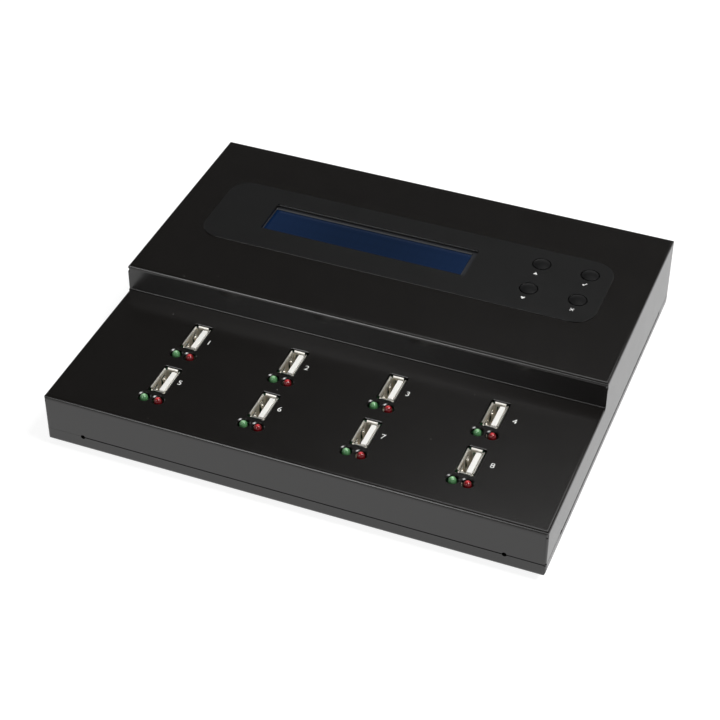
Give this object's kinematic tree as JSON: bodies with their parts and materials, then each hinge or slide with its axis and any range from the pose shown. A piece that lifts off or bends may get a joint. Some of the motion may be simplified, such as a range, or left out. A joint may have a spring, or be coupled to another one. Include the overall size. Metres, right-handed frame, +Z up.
{
  "type": "usb flash drive duplicator",
  "caption": "Low black steel desktop box with a stepped top: upright USB sockets with paired status lamps on the front deck, a display and round keys behind.",
  "frame": {"origin": "centre of the footprint on the surface that the feet stand on", "axes": "+X to the right, +Y to the rear, +Z up, seen from the front"},
  "size_m": [0.1958, 0.17, 0.0362],
  "materials": {
    "casing_paint": "satin black powder coat on sheet steel",
    "nickel": "nickel plated stamping",
    "ivory_plastic": "white moulded nylon",
    "led_green": "diffused green epoxy",
    "led_red": "diffused red epoxy",
    "panel_film": "fine matt polycarbonate film",
    "bezel": "black steel frame",
    "display_glass": "unlit blue character display",
    "laminate": "green solder mask on glass laminate",
    "cable": "grey flat cable",
    "black_plastic": "moulded black nylon",
    "key_plastic": "fine textured black",
    "rubber": "matt black",
    "screw_steel": "black oxide"
  },
  "bodies": {
    "casing": {"top_cover": "casing_paint", "base_pan": "casing_paint", "usb_shell_1": "nickel", "usb_insert_1": "ivory_plastic", "led_green_1": "led_green", "led_red_1": "led_red", "usb_shell_2": "nickel", "usb_insert_2": "ivory_plastic", "led_green_2": "led_green", "led_red_2": "led_red", "usb_shell_3": "nickel", "usb_insert_3": "ivory_plastic", "led_green_3": "led_green", "led_red_3": "led_red", "usb_shell_4": "nickel", "usb_insert_4": "ivory_plastic", "led_green_4": "led_green", "led_red_4": "led_red", "usb_shell_5": "nickel", "usb_insert_5": "ivory_plastic", "led_green_5": "led_green", "led_red_5": "led_red", "usb_shell_6": "nickel", "usb_insert_6": "ivory_plastic", "led_green_6": "led_green", "led_red_6": "led_red", "usb_shell_7": "nickel", "usb_insert_7": "ivory_plastic", "led_green_7": "led_green", "led_red_7": "led_red", "usb_shell_8": "nickel", "usb_insert_8": "ivory_plastic", "led_green_8": "led_green", "led_red_8": "led_red", "panel_film": "panel_film", "lcd_bezel": "bezel", "lcd_cell": "display_glass", "lcd_board": "laminate", "control_board": "laminate", "tact_switch_up": "black_plastic", "tact_switch_ok": "black_plastic", "tact_switch_down": "black_plastic", "tact_switch_esc": "black_plastic", "main_board": "laminate", "ribbon_cable": "cable", "dc_inlet": "black_plastic", "power_switch": "black_plastic", "rubber_foot_1": "rubber", "rubber_foot_2": "rubber", "rubber_foot_3": "rubber", "rubber_foot_4": "rubber", "cover_screw_1": "screw_steel", "cover_screw_2": "screw_steel", "cover_screw_3": "screw_steel", "cover_screw_4": "screw_steel"},
    "key_up": {"key_cap_up": "key_plastic"},
    "key_ok": {"key_cap_ok": "key_plastic"},
    "key_down": {"key_cap_down": "key_plastic"},
    "key_esc": {"key_cap_esc": "key_plastic"},
    "rocker": {"power_rocker": "black_plastic"}
  },
  "joints": [
    {"name": "key_up_press", "type": "slide", "parent": "casing", "child": "key_up", "axis": [0, 0, -1], "range_m": [0, 0.0005], "stiffness_N_per_m": 3000},
    {"name": "key_ok_press", "type": "slide", "parent": "casing", "child": "key_ok", "axis": [0, 0, -1], "range_m": [0, 0.0005], "stiffness_N_per_m": 3000},
    {"name": "key_down_press", "type": "slide", "parent": "casing", "child": "key_down", "axis": [0, 0, -1], "range_m": [0, 0.0005], "stiffness_N_per_m": 3000},
    {"name": "key_esc_press", "type": "slide", "parent": "casing", "child": "key_esc", "axis": [0, 0, -1], "range_m": [0, 0.0005], "stiffness_N_per_m": 3000},
    {"name": "power_rocker_tilt", "type": "hinge", "parent": "casing", "child": "rocker", "pos_m": [-0.038, 0.0799, 0.0158], "axis": [0, 0, 1], "range_deg": [0, 16]}
  ]
}
